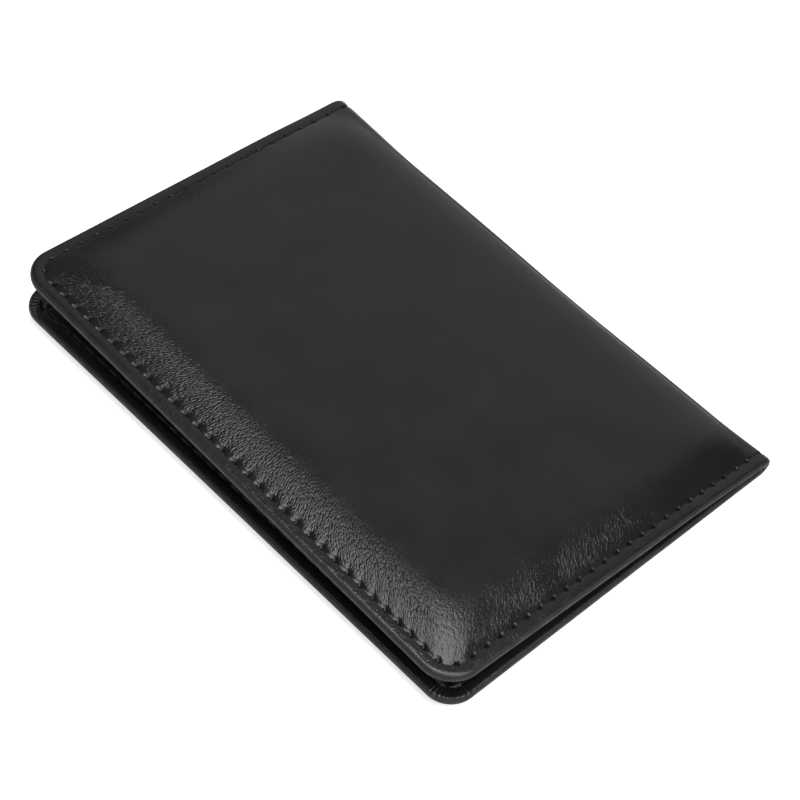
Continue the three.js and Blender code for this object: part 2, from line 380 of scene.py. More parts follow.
    def rise(self, inset, s, lead):
        """Height of the padded face above its border: one minus a power of the distance still to go across
        the shoulder, beside the seam and beside the fold, multiplied. Its foot lies out by lead."""
        foot, seam_power = 0.1, 2.4
        fold_foot, fold_power = 0.6, 2.2
        past_foot = np.maximum(inset - self.seam - foot + lead, 0.0)
        beside_seam = 1.0 - (1.0 - np.clip(past_foot / self.shoulder, 0.0, 1.0)) ** seam_power
        beside_fold = np.clip((s + fold_foot) / self.fold_shoulder, 0.0, 1.0)
        return self.crown * beside_seam * (1.0 - (1.0 - beside_fold) ** fold_power)

    def face(self, inset, s, y, along):
        """Outer level of the leather: the border, plus the padding's rise, less the trough of the seam and
        the pit of each stitch, plus the slow unevenness of a hand-glued face. Along the fore edge the
        padding's foot lies out over the seam in a lobe between two stitches, and drops steeply before the
        next one."""
        pit_depth, pit_deepest, pit_length, pit_width = 0.54, 0.66, 0.42, 0.34
        trough_depth, trough_width = 0.07, 0.42
        lobe_reach, notch_reach = 0.55, 0.1
        number, off = self.stitch_phase(along)
        chance = np.random.default_rng(11 if self.side == "front" else 12)
        depth = np.minimum(pit_depth * (1.0 + 0.12 * chance.standard_normal(self.stitches)), pit_deepest)
        shift = 0.10 * chance.standard_normal(self.stitches)
        across = inset - self.seam
        beyond = np.maximum(across, 0.0)
        at_tail = ease((9.0 - y - self.half) / 5.0)
        lean = ease(self.corner_share(along - self.bend))

        # The seam's trough, and the pits, which are longer and softer along the fore edge
        trough = (trough_depth + 0.04 * at_tail) * bell(across, trough_width)
        off_pit = off - shift[number]
        length = np.where(off_pit < 0.0, pit_length + 0.2 * lean, pit_length)
        width = pit_width + 0.08 * lean
        from_middle = (off_pit / length) ** 2 + ((across - 0.05 - 0.05 * lean) / width) ** 2
        pit = depth[number] * np.exp(-(from_middle ** (1.7 - 0.55 * lean)))

        # The padding's foot, in lobes along the fore edge that are smaller towards the head
        back = np.mod(-off_pit, self.pitch)
        lobe = ease((back - 0.2) / 0.9) * ease((self.pitch - back - 0.1) / 1.4)
        notch = notch_reach * bell(off, 0.75) * np.exp(-beyond / 1.1)
        full = lean * (1.0 - 0.6 * ease((y - 15.0) / 40.0))
        lead = lobe_reach * full * lobe * np.exp(-beyond / 1.5) - notch
        level = BORDER_FACE + self.rise(inset, s, lead)

        # The unevenness of the padded middle, and of the border
        inner = ease((inset - 6.0) / 14.0) * ease((s - 1.0) / 10.0)
        uneven = 0.07 * drift(s + 0.6 * y, 34.0, 3) * drift(y - 0.4 * s, 41.0, 4)
        edge = 0.05 * drift(along, 6.0, 5) * bell(inset, 2.2)
        return level - trough - pit * (1.0 - 0.5 * at_tail) + inner * uneven + edge

    def hem_level(self, s):
        """Inner level of the hem: over the sleeve, then down on the lining, then skived thin in the fold."""
        past_mouth = 1.0 - ease((s - self.mouth + 5.0) / 8.0)
        in_fold = 1.0 - ease((s + 0.5) / 7.0)
        return HEM_FACE + (HEM_LOW - HEM_FACE) * past_mouth + (FOLD_HEM - HEM_LOW) * in_fold

    def pleat(self, run, inset):
        """Height of the corner pleats on the hem: a row of ridges round the corner, fanned from its middle,
        growing from the turned edge inwards and dying away at the corner's two ends."""
        height, ridge_width, ridge_middle = 0.26, 0.2, 0.3
        share = self.corner_share(run)
        wander = share + 0.035 * np.sin(9.0 * share + 2.0 * np.sign(run - self.run / 2.0))
        tooth = np.mod(wander * self.pleats, 1.0)
        ridge = bell(tooth - 0.5, ridge_width) - ridge_middle
        window = ease((share + 0.12) / 0.2) * ease((1.12 - share) / 0.2)
        chance = np.random.default_rng(21).uniform(0.65, 1.15, self.pleats + 2)
        size = chance[np.clip(np.floor(wander * self.pleats) + 1, 0, self.pleats + 1).astype(int)]
        grown = ease((inset + 0.2) / 1.3) * (1.0 - 0.35 * ease((inset - 4.5) / 2.5))
        return height * size * ridge * window * grown


# Meshes


def grid_faces(rows, columns, first, closed=False):
    """Quads of a grid of points numbered row by row from first, closed round its columns if asked."""
    row = np.arange(rows - 1)[:, None]
    column = np.arange(columns if closed else columns - 1)[None, :]
    following = (column + 1) % columns
    corners = [row * columns + column, (row + 1) * columns + column]
    corners += [(row + 1) * columns + following, row * columns + following]
    corners = [np.broadcast_to(corner, corners[0].shape) for corner in corners]
    return first + np.stack(corners, axis=-1).reshape(-1, 4)


class Sheet:
    """Grids of points that make one mesh. Points that lie together are welded when it is made."""

    def __init__(self):
        self.points = []
        self.quads = []
        self.smooth = []
        self.caps = []
        self.cap_smooth = []
        self.maps = {}
        self.marks = {}
        self.count = 0

    def add(self, points, maps, marks, closed=False, turned=False, cap=False):
        """Adds a grid of points, rows by columns, with its UV maps and marks of the same shape."""
        rows, columns = points.shape[:2]
        quads = grid_faces(rows, columns, self.count, closed)
        self.quads.append(quads[:, ::-1] if turned else quads)
        self.smooth.append(np.full(len(quads), True))
        if cap:
            loop = self.count + np.arange(columns)
            self.end(loop[::-1] if turned else loop, True)
        self.points.append(points.reshape(-1, 3))
        for name, pair in maps.items():
            flat = np.stack([np.broadcast_to(p, points.shape[:2]) for p in pair], axis=-1)
            self.maps.setdefault(name, []).append(flat.reshape(-1, 2))
        for name, value in marks.items():
            self.marks.setdefault(name, []).append(np.broadcast_to(value, points.shape[:2]).ravel())
        self.count += rows * columns

    def end(self, loop, smooth):
        """Closes a loop of points, given by their numbers, with one face."""
        self.caps.append(loop.tolist())
        self.cap_smooth.append(smooth)

    def close(self, first, second):
        """Joins two rows of points, given by their numbers, with faces that keep a shading of their own."""
        quads = np.stack([first[:-1], first[1:], second[1:], second[:-1]], axis=-1)
        self.quads.append(quads)
        self.smooth.append(np.full(len(quads), False))

    def rim(self, shape):
        """Closes the last two grids, a face and the one turned behind it, along their borders."""
        number = np.arange(shape[0] * shape[1]).reshape(shape)
        sides = [number[0, :-1], number[:-1, -1], number[-1, :0:-1], number[::-1, 0]]
        loop = np.concatenate(sides) + self.count - number.size
        self.close(loop - number.size, loop)

    def make(self, name, material, flip=False):
        """Mesh object of the welded grids, with its maps on face corners and its marks on points. It is
        shaded smooth, apart from rims and from ends that are cut flat."""
        points = np.concatenate(self.points)
        quads = np.concatenate(self.quads)
        steps = np.round(points / WELD).astype(np.int64)
        kept, where = np.unique(steps, axis=0, return_inverse=True)[:2]
        where = where.ravel()
        first = np.zeros(len(kept), int)
        first[where[::-1]] = np.arange(len(points))[::-1]
        faces = where[quads]
        flat = (faces[:, 0] == faces[:, 1]) | (faces[:, 1] == faces[:, 2])
        flat |= (faces[:, 2] == faces[:, 3]) | (faces[:, 3] == faces[:, 0])
        quads = quads[~flat]
        if flip:
            quads = quads[:, ::-1]
        caps = [cap[::-1] if flip else cap for cap in self.caps]
        polygons = where[quads].tolist() + [where[np.array(cap)].tolist() for cap in caps]
        corners = np.concatenate([quads.ravel()] + [np.array(cap) for cap in caps])
        mesh = bpy.data.meshes.new(name)
        mesh.from_pydata(points[first].tolist(), [], polygons)
        smooth = np.concatenate([np.concatenate(self.smooth)[~flat], np.array(self.cap_smooth, bool)])
        mesh.polygons.foreach_set("use_smooth", smooth)
        for label, values in self.maps.items():
            layer = mesh.uv_layers.new(name=label)
            layer.data.foreach_set("uv", np.concatenate(values)[corners].astype(np.float32).ravel())
        for label, values in self.marks.items():
            mark = mesh.attributes.new(label, "FLOAT", "POINT")
            mark.data.foreach_set("value", np.concatenate(values)[first].astype(np.float32))
        mesh.validate()
        mesh.update()
        mesh.materials.append(material)
        made = bpy.data.objects.new(name, mesh)
        bpy.context.scene.collection.objects.link(made)
        return made


def tube(line, side, up, radius, rings):
    """Points of round tubes: circles of a given radius about each point of the lines, in the plane of the
    side and up directions. line is tubes by points by three, and the result tubes by points by rings by
    three."""
    angle = np.linspace(0.0, 2.0 * math.pi, rings, endpoint=False)
    ring_side = np.cos(angle)[:, None] * side[:, :, None, :]
    ring_up = np.sin(angle)[:, None] * up[:, :, None, :]
    return line[:, :, None, :] + radius[..., None, None] * (ring_side + ring_up)


# Materials


class Nodes:
    """Small helper that adds and joins the nodes of one material or world."""

    def __init__(self, owner, output="ShaderNodeOutputMaterial"):
        owner.use_nodes = True
        self.owner = owner
        self.tree = owner.node_tree
        self.tree.nodes.clear()
        self.output = self.add(output)

    def put(self, socket, value):
        """Joins a socket to another, or gives it a plain value."""
        if isinstance(value, bpy.types.NodeSocket):
            self.tree.links.new(value, socket)
        else:
            socket.default_value = value

    def add(self, kind, settings=None, **inputs):
        """New node with its settings and its inputs by name, with a low line for each blank in a name."""
        node = self.tree.nodes.new(kind)
        for key, value in (settings or {}).items():
            setattr(node, key, value)
        for key, value in inputs.items():
            self.put(node.inputs[key.replace("_", " ")], value)
        return node

    def wire(self, kind, settings, *values):
        """New node with its settings and its inputs in order."""
        node = self.add(kind, settings)
        for socket, value in zip(node.inputs, values):
            self.put(socket, value)
        return node

    def show(self, shader):
        """Joins a shader to the output, and gives the material or world."""
        self.put(self.output.inputs[0], shader.outputs[0])
        return self.owner

    def maths(self, kind, *values):
        """Result of one operation on numbers."""
        return self.wire("ShaderNodeMath", {"operation": kind}, *values).outputs[0]

    def span(self, value, low, high, to_low, to_high):
        """Value carried from one range to another."""
        ends = {"From_Min": low, "From_Max": high, "To_Min": to_low, "To_Max": to_high}
        return self.add("ShaderNodeMapRange", Value=value, **ends).outputs[0]

    def tint(self, share, low, high):
        """Mix of two colours, each a socket or three numbers."""
        node = self.add("ShaderNodeMix", {"data_type": "RGBA"})
        self.put(node.inputs[0], share)
        for socket, colour in zip(node.inputs[6:8], (low, high)):
            self.put(socket, colour if isinstance(colour, bpy.types.NodeSocket) else (*colour, 1.0))
        return node.outputs[2]

    def shades(self, share, colour, low, high):
        """Mix of two shades of a colour, each given by how much lighter or darker it is."""
        return self.tint(share, scaled(colour, low), scaled(colour, high))

    def scale(self, vector, scale):
        """Vector with its three parts scaled."""
        return self.add("ShaderNodeMapping", Vector=vector, Scale=scale).outputs[0]

    def uv(self, label, scale=(1.0, 1.0, 1.0)):
        """Place on a UV map."""
        return self.scale(self.add("ShaderNodeUVMap", {"uv_map": label}).outputs[0], scale)

    def mark(self, label):
        """Value of a mark on the points."""
        return self.add("ShaderNodeAttribute", {"attribute_name": label}).outputs["Fac"]

    def noise(self, vector, scale, detail=2.0, roughness=0.5):
        """Flat cloudy noise."""
        inputs = {"Vector": vector, "Scale": scale, "Detail": detail, "Roughness": roughness}
        return self.add("ShaderNodeTexNoise", {"noise_dimensions": "2D"}, **inputs).outputs[0]

    def sway(self, vector, scale, amount):
        """Vector shifted by the colours of a noise."""
        noise = self.add("ShaderNodeTexNoise", {"noise_dimensions": "2D"}, Vector=vector, Scale=scale)
        shift = self.add("ShaderNodeVectorMath", {"operation": "SCALE"}, Scale=amount)
        self.put(shift.inputs[0], noise.outputs["Color"])
        return self.wire("ShaderNodeVectorMath", {"operation": "ADD"}, vector, shift.outputs[0]).outputs[0]

    def cells(self, vector, scale):
        """Distance from the middles of flat cells."""
        settings = {"voronoi_dimensions": "2D", "feature": "F1"}
        return self.add("ShaderNodeTexVoronoi", settings, Vector=vector, Scale=scale).outputs["Distance"]

    def bump(self, height, distance):
        """Normal of a height, with the depth in metres of one unit of it."""
        return self.add("ShaderNodeBump", Height=height, Distance=distance, Strength=1.0).outputs[0]

    def finish(self, colour, roughness, normal, **inputs):
        """Ends the tree with a plain surface, and gives the material."""
        inputs.update(Base_Color=colour, Roughness=roughness, Normal=normal)
        return self.show(self.add("ShaderNodeBsdfPrincipled", **inputs))


def scaled(colour, factor):
    """Colour made lighter or darker by a factor."""
    return tuple(factor * c for c in colour)


def leather_material(finish):
    """Black finished leather: fine pebbled grain, mottled gloss, stretched grain and hair-thin creases in
    patches up the shoulder, an uneven border, edges rubbed a little lighter, and dull stitch pits whose
    colour is darkened by painted shade."""
    m = Nodes(bpy.data.materials.new("black_leather"))
    laid = m.uv("lay")
    edge = m.uv("edge")
    pebble = m.cells(m.sway(laid, 9.0, 0.05), 19.0)
    fine = m.noise(laid, 46.0, 3.0, 0.6)
    bent = m.sway(edge, 7.0, 0.06)
    scales = m.maths("POWER", m.cells(m.scale(bent, (22.0, 13.0, 1.0)), 1.0), 2.0)
    hairs = m.noise(m.scale(bent, (9.0, 5.0, 1.0)), 1.0)
    valley = m.span(m.maths("ABSOLUTE", m.maths("SUBTRACT", hairs, 0.5)), 0.0, 0.15, -1.0, 0.0)
    patch = m.span(m.noise(laid, 1.5, 2.0, 0.6), 0.36, 0.62, 0.2, 1.0)
    creased = m.maths("MULTIPLY", m.maths("MULTIPLY", valley, patch), m.mark("crease"))
    stretch = m.maths("MULTIPLY", m.maths("MULTIPLY", scales, m.mark("pull")), -0.95)
    grain = m.maths("MULTIPLY_ADD", pebble, -0.16, m.maths("MULTIPLY", fine, 0.08))
    uneven = m.maths("MULTIPLY", m.noise(edge, 5.0, 1.0), 0.4)
    grain = m.maths("MULTIPLY_ADD", uneven, m.mark("rim"), grain)
    height = m.maths("MULTIPLY_ADD", creased, 0.34, m.maths("ADD", stretch, grain))
    normal = m.bump(height, 0.00011)
    mottle = m.noise(laid, 0.75, 4.0, 0.6)
    rub = m.mark("rub")
    shade = m.span(mottle, 0.3, 0.7, 0.0, 0.5)
    plain = m.shades(shade, finish.leather, 0.85, 1.5)
    # Painted shade in the stitch pits: the colour goes to a darkened thread colour where the pits lie
    colour = m.tint(m.mark("painted_pit_shade"), m.tint(rub, plain, finish.rubbed), scaled(finish.thread, 0.4))
    roughness = m.span(mottle, 0.25, 0.75, finish.gloss - 0.03, finish.gloss + 0.03)
    roughness = m.maths("MULTIPLY_ADD", rub, 0.08, roughness)
    roughness = m.maths("MULTIPLY_ADD", m.mark("matt"), 0.4, roughness)
    shine = m.maths("MULTIPLY_ADD", m.mark("sunk"), -0.46, 0.5)
    return m.finish(colour, roughness, normal, Specular_IOR_Level=shine)


def edge_material(finish):
    """Turned edge of the leather, rubbed dull and a little brown, with a soft uneven grain."""
    m = Nodes(bpy.data.materials.new("rubbed_edge"))
    edge = m.uv("edge")
    patch = m.noise(edge, 3.0, 3.0, 0.6)
    grain = m.noise(edge, 22.0, 2.0, 0.6)
    share = m.span(patch, 0.3, 0.7, 0.0, 1.0)
    colour = m.shades(share, finish.rubbed, 0.9, 1.8)
    roughness = m.span(patch, 0.3, 0.7, 0.55, 0.42)
    return m.finish(colour, roughness, m.bump(grain, 0.00006), Specular_IOR_Level=0.4)


def sleeve_material(finish):
    """Thin finished leather of the sleeves, with a smaller, flatter grain."""
    m = Nodes(bpy.data.materials.new("sleeve_leather"))
    laid = m.uv("lay")
    fine = m.noise(laid, 60.0, 3.0, 0.6)
    height = m.maths("MULTIPLY_ADD", m.cells(laid, 24.0), -0.6, m.maths("MULTIPLY", fine, 0.4))
    mottle = m.noise(laid, 0.6, 4.0, 0.6)
    share = m.span(mottle, 0.3, 0.7, 0.0, 1.0)
    colour = m.shades(share, finish.sleeve, 0.85, 1.3)
    return m.finish(colour, m.span(mottle, 0.25, 0.75, 0.42, 0.54), m.bump(height, 0.00008))


def lining_material(finish):
    """Plain woven lining: threads over and under each other, about three to the millimetre."""
    m = Nodes(bpy.data.materials.new("woven_lining"))
    settings = {"wave_type": "BANDS", "bands_direction": "X", "wave_profile": "SIN"}
    laid = m.uv("lay")
    turned = m.add("ShaderNodeMapping", Vector=laid, Rotation=(0.0, 0.0, math.pi / 2.0)).outputs[0]
    warp, weft = [
        m.add("ShaderNodeTexWave", settings, Vector=way, Scale=9.0, Distortion=0.3).outputs["Fac"]
        for way in (laid, turned)
    ]
    weave = m.maths("ABSOLUTE", m.maths("SUBTRACT", warp, weft))
    slub = m.noise(m.uv("lay", (1.0, 12.0, 1.0)), 3.0, 3.0, 0.6)
    normal = m.bump(m.maths("MULTIPLY_ADD", slub, 0.5, weave), 0.00008)
    share = m.maths("MULTIPLY_ADD", weave, 0.6, m.maths("MULTIPLY", slub, 0.4))
    colour = m.shades(share, finish.lining, 0.6, 1.7)
    return m.finish(colour, 0.75, normal, Sheen_Weight=0.2)


def thread_material(finish):
    """Bonded sewing thread: three plies twisted along its length."""
    m = Nodes(bpy.data.materials.new("sewing_thread"))
    settings = {"wave_type": "BANDS", "bands_direction": "DIAGONAL", "wave_profile": "SIN"}
    plies = m.add("ShaderNodeTexWave", settings, Vector=m.uv("lay"), Scale=1.0).outputs["Fac"]
    colour = m.shades(plies, finish.thread, 0.6, 1.6)
    return m.finish(colour, 0.8, m.bump(plies, 0.00006), Specular_IOR_Level=0.15)


def board_material(finish):
    """Grey stiffener board with pulp flecks."""
    m = Nodes(bpy.data.materials.new("grey_board"))
    place = m.add("ShaderNodeTexCoord").outputs["Object"]
    pulp = m.add("ShaderNodeTexNoise", Vector=place, Scale=900.0, Detail=4.0).outputs[0]
    fleck = m.add("ShaderNodeTexVoronoi", Vector=place, Scale=500.0).outputs["Distance"]
    share = m.maths("MULTIPLY_ADD", fleck, 0.4, m.maths("MULTIPLY", pulp, 0.6))
    colour = m.shades(share, finish.board, 0.75, 1.15)
    return m.finish(colour, 0.9, m.bump(pulp, 0.00005))


# Pieces


class Band:
    """Columns of the leather's band along a leaf's outline, with the leaf's half of the fold at both ends."""

    def __init__(self, leaf):
        self.leaf = leaf
        self.run, self.tail = leaf.columns()
        at_tail = np.zeros(len(self.tail))
        self.spread = np.concatenate([at_tail, self.run, at_tail + leaf.run])
        self.beyond = np.concatenate([self.tail, np.zeros(len(self.run)), self.tail[::-1]])
        self.along = leaf.bend + np.concatenate([self.tail, self.run, leaf.run - self.tail[::-1]])

    def across(self, inset, padded):
        """Places of rows at the given insets: the outline drawn in, and carried on into the fold."""
        s, y = self.leaf.ring(inset[:, None], self.spread[None, :], padded)
        return s + self.beyond[None, :], y


def leather_rows(leaf):
    """Insets of the rows on the padded face, from the band's inner end to the edge, shares of the way round
    the turned edge, and insets of the rows on the hem, from the edge to its cut end."""
    beside, border = leaf.seam + 1.3, leaf.seam - 1.0
    before, after = leaf.seam - 0.7, leaf.seam + 0.7
    face = np.concatenate([
        np.linspace(BAND, 8.0, 8)[:-1],
        np.linspace(8.0, beside, 8)[:-1],
        np.linspace(beside, border, 17)[:-1],
        np.linspace(border, EDGE_ROUND, 4),
    ])
    turn = np.linspace(0.0, 1.0, 13)[1:-1]
    hem = np.concatenate([
        np.linspace(EDGE_ROUND, before, 5)[:-1],
        np.linspace(before, after, 8)[:-1],
        np.linspace(after, leaf.hem - LIP, 5),
    ])
    return face, turn, hem


def band_levels(leaf, band, face, turn, hem):
    """Rows of the band, as arrays of inset, place on the unrolled leather, s, y and level. After the face
    come the turned edge, an oval with the power 2 / 2.3 of sine and cosine, the hem with its pits and pleats,
    the hem's cut end, and the way back under the hem to the base."""
    rows = []
    s, y = band.across(face, True)
    rows.append((face, face, s, y, leaf.face(face[:, None], s, y, band.along[None, :])))

    square = 2.0 / 2.3
    half_turn = EDGE_ROUND * math.pi
    inset = EDGE_ROUND * (1.0 - np.sin(math.pi * turn) ** square)
    s, y = band.across(inset, False)
    hem_level = leaf.hem_level(s)
    middle = (BORDER_FACE + hem_level) / 2.0
    upright = np.cos(math.pi * turn)
    upright = np.sign(upright) * np.abs(upright) ** square
    level = middle + (BORDER_FACE - hem_level) / 2.0 * upright[:, None]
    lower = ease((turn - 0.35) / 0.65)[:, None]
    fold_in = leaf.pleat(band.spread[None, :], np.full((1, 1), 0.9))
    rows.append((inset, EDGE_ROUND - half_turn * turn, s, y, level - lower * fold_in))

    pit_depth, pit_length, pit_width = 0.42, 1.5, 0.36
    s, y = band.across(hem, False)
    off = leaf.stitch_phase(band.along)[1]
    gap = hem[:, None] - leaf.seam
    pit = pit_depth * np.exp(-((off / pit_length) ** 4))[None, :] * bell(gap, pit_width)
    level = leaf.hem_level(s) + pit - leaf.pleat(band.spread[None, :], hem[:, None])
    rows.append((hem, EDGE_ROUND - half_turn - (hem - EDGE_ROUND), s, y, level))

    lip = np.array([0.0, 0.5, 1.0])
    inset = leaf.hem - LIP * np.array([0.3, 0.0, 0.0])
    s, y = band.across(inset, False)
    over = leaf.hem_level(s) - leaf.pleat(band.spread[None, :], inset[:, None])
    under = np.minimum(leaf.hem_level(s) + LEATHER, HEM_UNDER)
    rows.append((inset, -8.5 - lip, s, y, over + (under - over) * lip[:, None]))

    inset = np.array([4.0, 1.6, 0.8, 0.8, 1.6, BAND])
    down = np.array([0.0, 0.0, 0.3, 0.7, 1.0, 1.0])[:, None]
    s, y = band.across(inset, False)
    under = np.minimum(leaf.hem_level(s) + LEATHER, HEM_UNDER)
    rows.append((inset, -10.0 - np.arange(6.0), s, y, under + (BASE_FACE - under) * down))
    return [np.concatenate(column) for column in zip(*rows)]


def band_marks(leaf, band, inset, s, y, faces, edges):
    """Marks of the band's points, of which the first rows are the face's and the next the turned edge's.
    pull is stretched grain and crease hair creases, both on the shoulder. rub is the worn edge, rim the
    border with its uneven grain, sunk where the leather hardly shines, and matt where it is rough. The mark
    of a stitch's pit is painted shade, which darkens the leather's colour there."""
    row = np.arange(len(inset))
    is_face = (row < faces)[:, None]
    outside = row < faces + edges
    fore = ease(leaf.corner_share(band.spread))
    at_head = band.spread > leaf.run / 2.0
    head = np.where(at_head, 1.0 - fore, 0.0)

    shoulder = ease((inset - leaf.seam - 0.4) / 1.2) * (1.0 - ease((inset - 6.5) / 10.0))
    drawn = np.where(is_face, shoulder[:, None] * ease((s - 13.0) / 33.0), 0.0)
    easing = 1.2 - 0.5 * ease((y + 50.0) / 100.0)
    rim = np.where(outside, 1.0 - ease((inset - leaf.seam + 1.1) / 0.6), 0.0)
    border = (rim * ease((inset - 0.5) / 1.1))[:, None]
    pull = drawn * (0.05 + 0.95 * fore * easing + 0.12 * head) + (0.2 + 0.2 * fore) * border
    crease = drawn * (0.1 + 0.25 * fore + 0.9 * head)
    rub = np.where(outside, 1.0 - ease(inset / 1.4), 0.0)[:, None]

    off = leaf.stitch_phase(band.along)[1]
    gap = inset[:, None] - leaf.seam
    # Painted shade in each stitch's pit on the face, which darkens the leather's colour there
    painted_pit_shade = np.exp(-((off / 0.5) ** 2 + (gap / 0.45) ** 2)) * is_face
    gap = gap - 0.05
    at_pit = np.exp(-(((off / 0.62) ** 2 + (gap / 0.5) ** 2) ** 2))
    tail_line = np.where(at_head, 0.0, 0.6) * bell(gap, 0.3)
    sunk = np.maximum(at_pit, tail_line) * (1.0 - fore) * is_face
    in_fold = 1.0 - ease((s + 0.5) / 5.0)
    matt = np.where(outside[:, None], sunk, 0.4 + 0.6 * in_fold)
    marks = {"pull": pull, "crease": crease, "rub": rub, "rim": rim[:, None], "painted_pit_shade": painted_pit_shade}
    marks.update({"matt": matt, "sunk": sunk})
    return marks


def leather_maps(s, y, along, unrolled):
    """UV maps of the leather: its place on the flat leaf, and its place along and across the edge."""
    return {"lay": (s / UV_STEP, y / UV_STEP), "edge": (along / UV_STEP, unrolled / UV_STEP)}


def leather_piece(leaf, material):
    """Outer leather of a leaf and its half of the fold: a crowned face, the seam's pits, a half-round turned
    edge, and a hem with pleats in its corners, closed behind by a flat base at the level of the board."""
    face, turn, hem = leather_rows(leaf)
    band = Band(leaf)
    inset, unrolled, s, y, n = band_levels(leaf, band, face, turn, hem)
    maps = leather_maps(*band.across(unrolled, True), band.along[None, :], unrolled[:, None])
    marks = band_marks(leaf, band, inset, s, y, len(face), len(turn))
    none = dict.fromkeys(marks, 0.0)
    sheet = Sheet()
    sheet.add(leaf.place(s, y, n), maps, marks)

    # The middle of the face and its base: loops that shrink to a small one, which is closed flat
    side = np.linspace(1.0, -1.0, 121)[1:-1] * (leaf.half - BAND)
    loop_along = leaf.bend + np.concatenate([band.run, np.zeros(len(side))])
    centre = leaf.width / 2.0
    crowned = 1.0 - np.linspace(0.976, 0.0, 11) ** 1.7
    flat = np.array([0.05, 0.5, 1.0])
    for padded, shrink in ((True, crowned[:, None]), (False, flat[:, None])):
        loop_s, loop_y = leaf.ring(BAND, band.run, padded)
        s = centre + shrink * (np.concatenate([loop_s, np.zeros(len(side))]) - centre)
        y = shrink * np.concatenate([loop_y, side])
        n = BASE_FACE
        if padded:
            n = leaf.face(np.full(s.shape, BAND), s, y, np.broadcast_to(loop_along, s.shape))
        maps = leather_maps(s, y, loop_along[None, :], BAND)
        sheet.add(leaf.place(s, y, n), maps, none, closed=True, turned=not padded, cap=True)

    # The fold between the two bands at head and tail, outside and inside
    strip_s = np.concatenate([[0.0], band.tail[::-1]])[:, None]
    strip_y = np.concatenate([[leaf.half - BAND], side, [BAND - leaf.half]])[None, :]
    s, y = np.broadcast_arrays(strip_s, strip_y)
    n = leaf.face(np.full(s.shape, BAND), s, y, np.broadcast_to(leaf.bend + strip_s, s.shape))
    maps = leather_maps(s, y, leaf.bend + strip_s, BAND)
    sheet.add(leaf.place(s, y, n), maps, none)
    sheet.add(leaf.place(s, y, BASE_FACE), maps, none, turned=True)

    # The cut on the fold's middle line, where the other leaf's leather goes on
    inner = sheet.count - np.arange(s.shape[1]) - 1
    sheet.close(inner - s.size, inner)
    first_column = np.arange(len(inset)) * len(band.along)
    sheet.end(first_column[::-1], False)
    sheet.end(first_column + len(band.along) - 1, False)
    return sheet.make(f"{leaf.side}_leather", material, flip=leaf.side == "back")


def rub_edge(made, material):
    """Gives the faces of the turned edge, where the mark of rubbing is high, a material of their own."""
    rubbed = 0.6
    mesh = made.data
    mesh.materials.append(material)
    rub = np.empty(len(mesh.vertices), np.float32)
    mesh.attributes["rub"].data.foreach_get("value", rub)
    corners = np.empty(len(mesh.loops), np.int32)
    mesh.loops.foreach_get("vertex_index", corners)
    starts = np.empty(len(mesh.polygons), np.int32)
    mesh.polygons.foreach_get("loop_start", starts)
    least = np.minimum.reduceat(rub[corners], starts)
    mesh.polygons.foreach_set("material_index", (least > rubbed).astype(np.int32))


def fold_blend(piece):
    """Bakes the piece's place into its points. The piece already turns through its leaf's half of the fold
    by its own points, up to the fold's middle, where the other leaf's piece goes on."""
    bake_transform(piece)


def round_ended(s, reach, half, corner, columns):
    """Points of a flat sheet in rows across the leaf: a rectangle whose half width is drawn in at its fore
    end by a quarter circle with the corner's radius."""
    past = np.clip(s - (reach - corner), 0.0, corner)
    edge = half - (corner - np.sqrt(np.maximum(corner ** 2 - past ** 2, 0.0)))
    y = np.linspace(-1.0, 1.0, columns)[None, :] * edge[:, None]
    return np.broadcast_to(s[:, None], y.shape), y


def two_faces(leaf, name, material, s, y, levels, maps):
    """Thin closed sheet: a face towards the cover's middle, one behind it, and the rim between them."""
    sheet = Sheet()
    sheet.add(leaf.place(s, y, levels[0]), maps, {})
    sheet.add(leaf.place(s, y, levels[1]), maps, {}, turned=True)
    sheet.rim(s.shape)
    return sheet.make(f"{leaf.side}_{name}", material, flip=leaf.side == "front")


def flat_size(leaf, length, corner):
    """Size of a sheet laid flat, in metres, and its area, which is less by its two round corners."""
    flat = (length * MM, 2.0 * (leaf.half - SHEET_INSET) * MM)
    return flat, flat[0] * flat[1] - (2.0 - math.pi / 2.0) * (corner * MM) ** 2


def lining_piece(leaf, material):
    """Lining of a leaf and its half of the fold: a flat rectangle with round fore corners, thin and closed,
    whose face sags a little here and there."""
    thickness, sag = 0.2, 0.05
    reach = leaf.width - SHEET_INSET
    corner = leaf.corner - SHEET_INSET
    bend = -leaf.bend * (1.0 - np.linspace(0.0, 1.0, 13)[:-1])
    rows = np.concatenate([bend, np.linspace(0.0, reach, 60)])
    s, y = round_ended(rows, reach, leaf.half - SHEET_INSET, corner, 90)
    levels = (LINING_FACE + sag * drift(y + 0.3 * s, 26.0, 8), LINING_FACE + thickness)
    maps = {"lay": (s / UV_STEP, y / UV_STEP)}
    made = two_faces(leaf, "lining_cloth", material, s, y, levels, maps)
    return made, *flat_size(leaf, reach + leaf.bend, corner)


